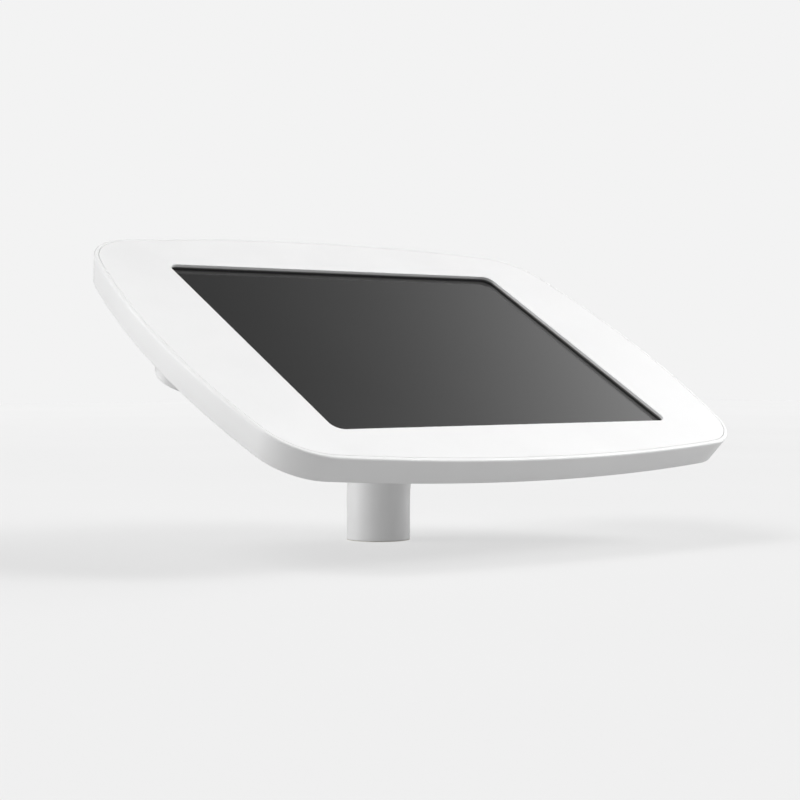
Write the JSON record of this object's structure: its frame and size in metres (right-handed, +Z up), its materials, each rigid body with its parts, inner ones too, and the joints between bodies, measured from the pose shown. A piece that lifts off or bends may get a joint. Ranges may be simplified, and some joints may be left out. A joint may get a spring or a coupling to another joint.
{
  "type": "counter post tablet enclosure",
  "caption": "Pillow-shaped tablet enclosure with a framed screen opening on a short bent post that swivels on a counter; the case turns upright and the front plate locks.",
  "frame": {"origin": "centre of the post's foot on the counter top, which is the centre of the counter screws' pitch circle", "axes": "+Z up, along the post's foot; +X along the long side of the case; -Y towards the person at the screen, which faces up and towards -Y"},
  "size_m": [0.2954, 0.1838, 0.1479],
  "materials": {
    "foot_spigot": "zinc plated",
    "glide_washer": "natural acetal",
    "swivel_stop_pin": "zinc plated",
    "post_tube": "satin white powder coat",
    "lower_bush": "natural acetal",
    "upper_bush": "natural acetal",
    "grub_screw": "blackened",
    "post_head": "satin white powder coat",
    "friction_washer": "natural acetal",
    "retaining_nut": "zinc plated",
    "head_cover": "moulded satin white",
    "head_stop_pin": "zinc plated",
    "cable_grommet": "matt",
    "rear_case": "satin white powder coat",
    "swivel_plate": "zinc plated",
    "plate_screws": "zinc plated",
    "corner_pads": "matt closed-cell foam",
    "lock_housing": "satin white powder coat",
    "lock_barrel": "bright chrome",
    "lock_nut": "zinc plated",
    "tablet_shell": "bead blasted",
    "tablet_glass": "polished, dark behind",
    "display_panel": "dark, switched off",
    "battery_cells": "foil pouch",
    "logic_board": "solder mask",
    "charge_port": "plated",
    "speakers": "moulded",
    "front_bezel": "satin white powder coat",
    "bezel_gasket": "matt closed-cell foam",
    "hinge_hooks": "zinc plated",
    "lock_keeper": "zinc plated",
    "lock_plug": "nickel plated over brass",
    "lock_cam": "zinc plated",
    "cam_screw": "zinc plated",
    "power_button": "bead blasted",
    "volume_up_button": "bead blasted",
    "volume_down_button": "bead blasted"
  },
  "bodies": {
    "foot": {"foot_spigot": "foot_spigot", "glide_washer": "glide_washer", "swivel_stop_pin": "swivel_stop_pin"},
    "post": {"post_tube": "post_tube", "lower_bush": "lower_bush", "upper_bush": "upper_bush", "grub_screw": "grub_screw", "post_head": "post_head", "friction_washer": "friction_washer", "retaining_nut": "retaining_nut", "head_cover": "head_cover", "head_stop_pin": "head_stop_pin", "cable_grommet": "cable_grommet"},
    "case": {"rear_case": "rear_case", "swivel_plate": "swivel_plate", "plate_screws": "plate_screws", "corner_pads": "corner_pads", "lock_housing": "lock_housing", "lock_barrel": "lock_barrel", "lock_nut": "lock_nut", "tablet_shell": "tablet_shell", "tablet_glass": "tablet_glass", "display_panel": "display_panel", "battery_cells": "battery_cells", "logic_board": "logic_board", "charge_port": "charge_port", "speakers": "speakers"},
    "bezel": {"front_bezel": "front_bezel", "bezel_gasket": "bezel_gasket", "hinge_hooks": "hinge_hooks", "lock_keeper": "lock_keeper"},
    "lock": {"lock_plug": "lock_plug", "lock_cam": "lock_cam", "cam_screw": "cam_screw"},
    "power_button": {"power_button": "power_button"},
    "volume_up_button": {"volume_up_button": "volume_up_button"},
    "volume_down_button": {"volume_down_button": "volume_down_button"}
  },
  "joints": [
    {"name": "post_swivel", "type": "hinge", "parent": "foot", "child": "post", "pos_m": [0, 0, 0.008], "axis": [0, 0, 1], "range_deg": [-160, 160]},
    {"name": "case_turn", "type": "hinge", "parent": "post", "child": "case", "pos_m": [0, -0.02498, 0.08244], "axis": [0, -0.5, 0.866], "range_deg": [-90, 0]},
    {"name": "bezel_open", "type": "hinge", "parent": "case", "child": "bezel", "pos_m": [0.14555, -0.03298, 0.0963], "axis": [0, 0.866, 0.5], "range_deg": [0, 20]},
    {"name": "lock_turn", "type": "hinge", "parent": "case", "child": "lock", "pos_m": [-0.1268, -0.02598, 0.08417], "axis": [0, -0.5, 0.866], "range_deg": [0, 90]},
    {"name": "power_button_press", "type": "slide", "parent": "case", "child": "power_button", "axis": [1, 0, 0], "range_m": [0, 0.00035], "stiffness_N_per_m": 1500, "springref_m": -0.0003},
    {"name": "volume_up_button_press", "type": "slide", "parent": "case", "child": "volume_up_button", "axis": [0, -0.866, -0.5], "range_m": [0, 0.00035], "stiffness_N_per_m": 1500, "springref_m": -0.0003},
    {"name": "volume_down_button_press", "type": "slide", "parent": "case", "child": "volume_down_button", "axis": [0, -0.866, -0.5], "range_m": [0, 0.00035], "stiffness_N_per_m": 1500, "springref_m": -0.0003}
  ]
}
